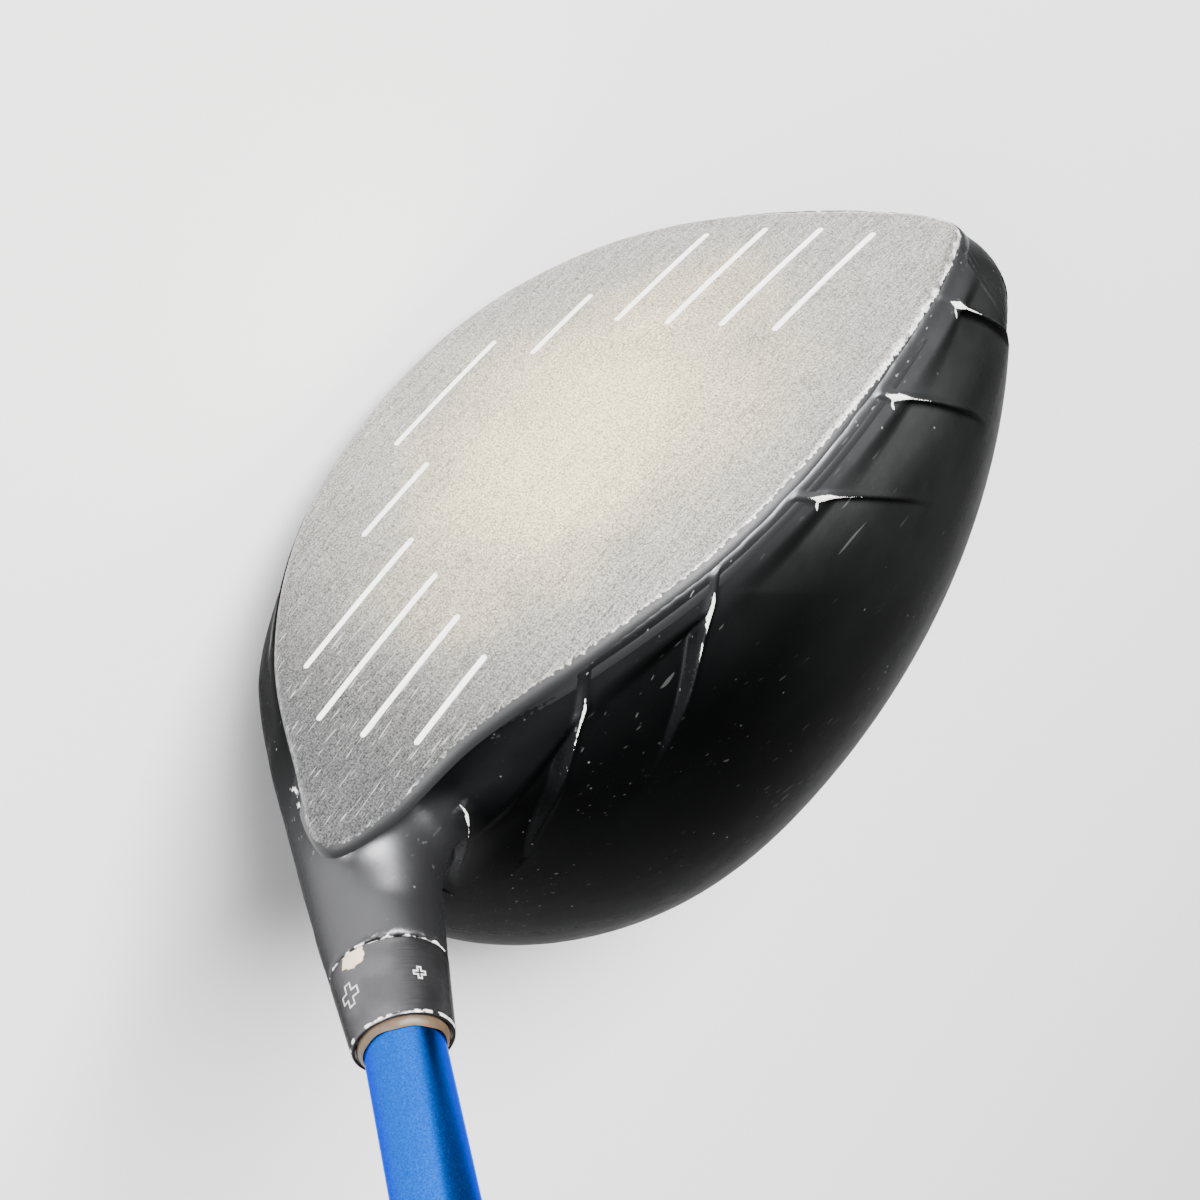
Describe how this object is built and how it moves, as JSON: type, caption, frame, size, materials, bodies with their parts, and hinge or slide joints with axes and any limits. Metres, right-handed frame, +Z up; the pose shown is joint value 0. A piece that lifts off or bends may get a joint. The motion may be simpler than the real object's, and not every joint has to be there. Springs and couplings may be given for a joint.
{
  "type": "golf driver",
  "caption": "Adjustable golf driver with a large hollow black head, a bare metal face, low ridges on the crown, a splined hosel sleeve, a blue shaft and a rubber grip.",
  "frame": {"origin": "middle of the small flat land at the lowest point of the sole, on the ground, with the club held in its address pose", "axes": "+Z up, -Y the way the face looks, +X from the toe to the heel, which is the side the shaft leans towards"},
  "size_m": [0.72, 0.1003, 0.9766],
  "materials": {
    "crown_paint": "satin black paint over a carbon composite crown",
    "body_paint": "satin black paint over a titanium casting",
    "bare_titanium": "blasted and fine brushed titanium, warm grey",
    "black_anodised": "satin black anodised",
    "blue_lacquer": "metallic blue lacquer over carbon fibre",
    "black_rubber": "matt moulded rubber",
    "dark_steel": "dark machined steel",
    "tungsten": "satin tungsten alloy",
    "brass": "turned brass",
    "tan_epoxy": "cured epoxy",
    "amber_resin": "hot melt resin",
    "white_nylon": "white nylon",
    "cream_tape": "double-sided paper tape"
  },
  "bodies": {
    "head": {"body_shell": "body_paint", "crown_shell": "crown_paint", "face_plate": "bare_titanium", "hot_melt_pad": "amber_resin", "spline_insert": "bare_titanium", "screw_retainer": "white_nylon", "weight_gasket": "black_rubber", "weight_bush": "bare_titanium"},
    "shaft_assembly": {"adapter_sleeve": "black_anodised", "epoxy_bead": "tan_epoxy", "tip_plug": "white_nylon", "tip_weight": "brass", "shaft": "blue_lacquer", "grip_tape": "cream_tape", "grip": "black_rubber", "grip_cap": "black_rubber"},
    "adapter_washer": {"screw_washer": "dark_steel"},
    "adapter_screw": {"adapter_screw": "dark_steel"},
    "rear_weight": {"rear_weight": "tungsten"},
    "rear_weight_screw": {"rear_weight_screw": "dark_steel"}
  },
  "joints": [
    {"name": "shaft_pull", "type": "slide", "parent": "head", "child": "shaft_assembly", "axis": [0.5373, 0, 0.8434], "range_m": [0, 0.045]},
    {"name": "adapter_screw_travel", "type": "slide", "parent": "head", "child": "adapter_washer", "axis": [-0.5373, 0, -0.8434], "range_m": [0, 0.007]},
    {"name": "adapter_screw_turn", "type": "hinge", "parent": "adapter_washer", "child": "adapter_screw", "pos_m": [0.0349, -0.0181, 0.0318], "axis": [-0.5373, 0, -0.8434], "range_deg": [0, 3150]},
    {"name": "weight_travel", "type": "slide", "parent": "head", "child": "rear_weight", "axis": [0, 0.3007, -0.9537], "range_m": [0, 0.0048]},
    {"name": "weight_screw_turn", "type": "hinge", "parent": "rear_weight", "child": "rear_weight_screw", "pos_m": [-0.0125, 0.041, 0.00658], "axis": [0, 0.3007, -0.9537], "range_deg": [0, 2160]}
  ],
  "couplings": [
    {"joint": "adapter_screw_turn", "follows": "adapter_screw_travel", "rad_per_m": 7854},
    {"joint": "weight_screw_turn", "follows": "weight_travel", "rad_per_m": 7854}
  ]
}
